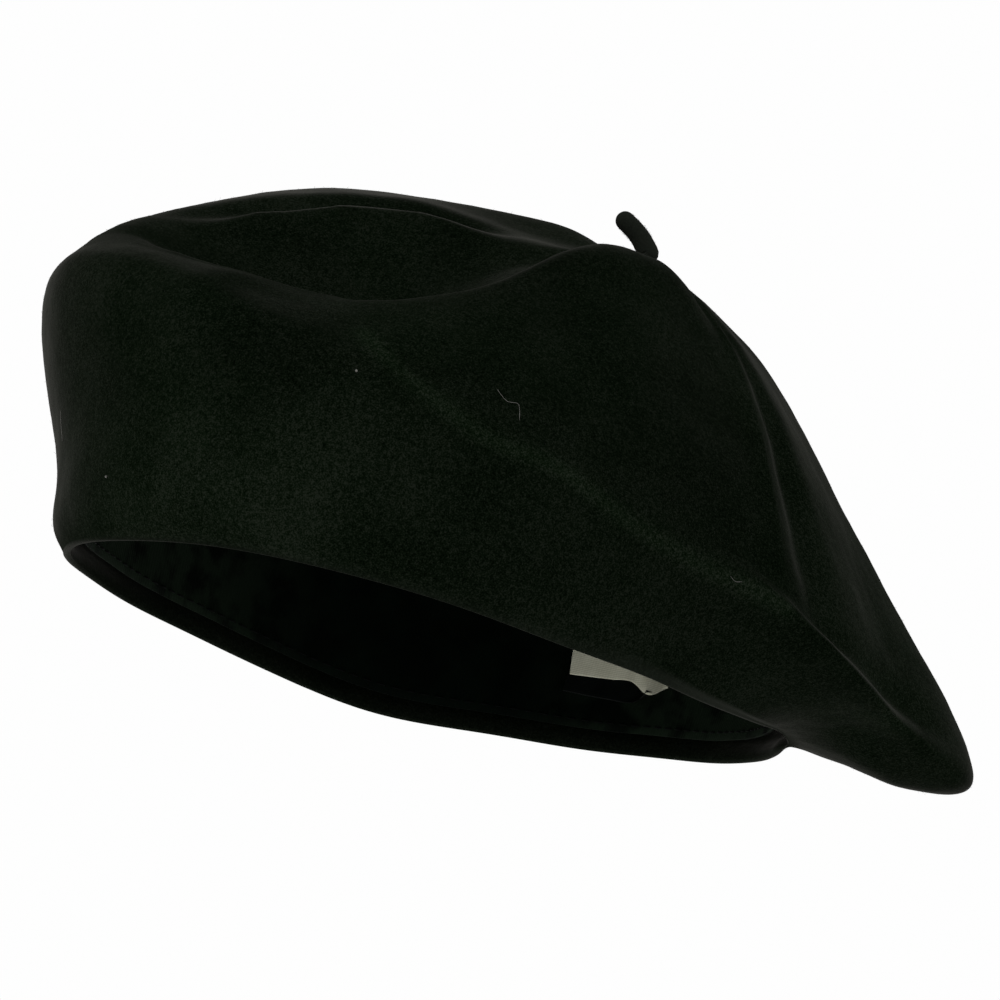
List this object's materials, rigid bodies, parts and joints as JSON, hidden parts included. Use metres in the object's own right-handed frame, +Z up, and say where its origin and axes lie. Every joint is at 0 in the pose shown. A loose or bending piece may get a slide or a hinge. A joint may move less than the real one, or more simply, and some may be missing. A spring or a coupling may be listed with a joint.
{
  "type": "soft felt beret",
  "caption": "Soft round felt beret pulled over to the wearer's left, with a bending stem on the crown, an inner sweatband and labels that lift.",
  "frame": {"origin": "centre of the head opening, in the plane of the rim's lower edge, where the wearer's head enters", "axes": "+Z up through the crown, -Y the wearer's front, +X the wearer's left, the side that the flop hangs over"},
  "size_m": [0.2178, 0.2232, 0.1151],
  "materials": {
    "black_felt": "milled wool felt, very dark, matt, slightly fuzzy",
    "black_thread": "twisted polyester sewing thread",
    "black_ribbon": "fine ribbed cotton ribbon",
    "black_satin": "blank woven satin label",
    "white_satin": "blank off-white satin label"
  },
  "bodies": {
    "hat": {"felt_body": "black_felt", "stem_tie": "black_thread", "sweatband": "black_ribbon", "band_stitching": "black_thread"},
    "stem": {"stem": "black_felt"},
    "labels": {"woven_label": "black_satin", "care_label": "white_satin", "label_stitching": "black_thread"}
  },
  "joints": [
    {"name": "stem_bend", "type": "hinge", "parent": "hat", "child": "stem", "pos_m": [0.0178, 0.018, 0.10475], "axis": [-0.454, 0.891, 0], "range_deg": [-18, 40], "stiffness_Nm_per_rad": 0.0005},
    {"name": "labels_lift", "type": "hinge", "parent": "hat", "child": "labels", "pos_m": [0.0015, 0.09642, 0.0335], "axis": [-1, 0, 0], "range_deg": [0, 95]}
  ]
}
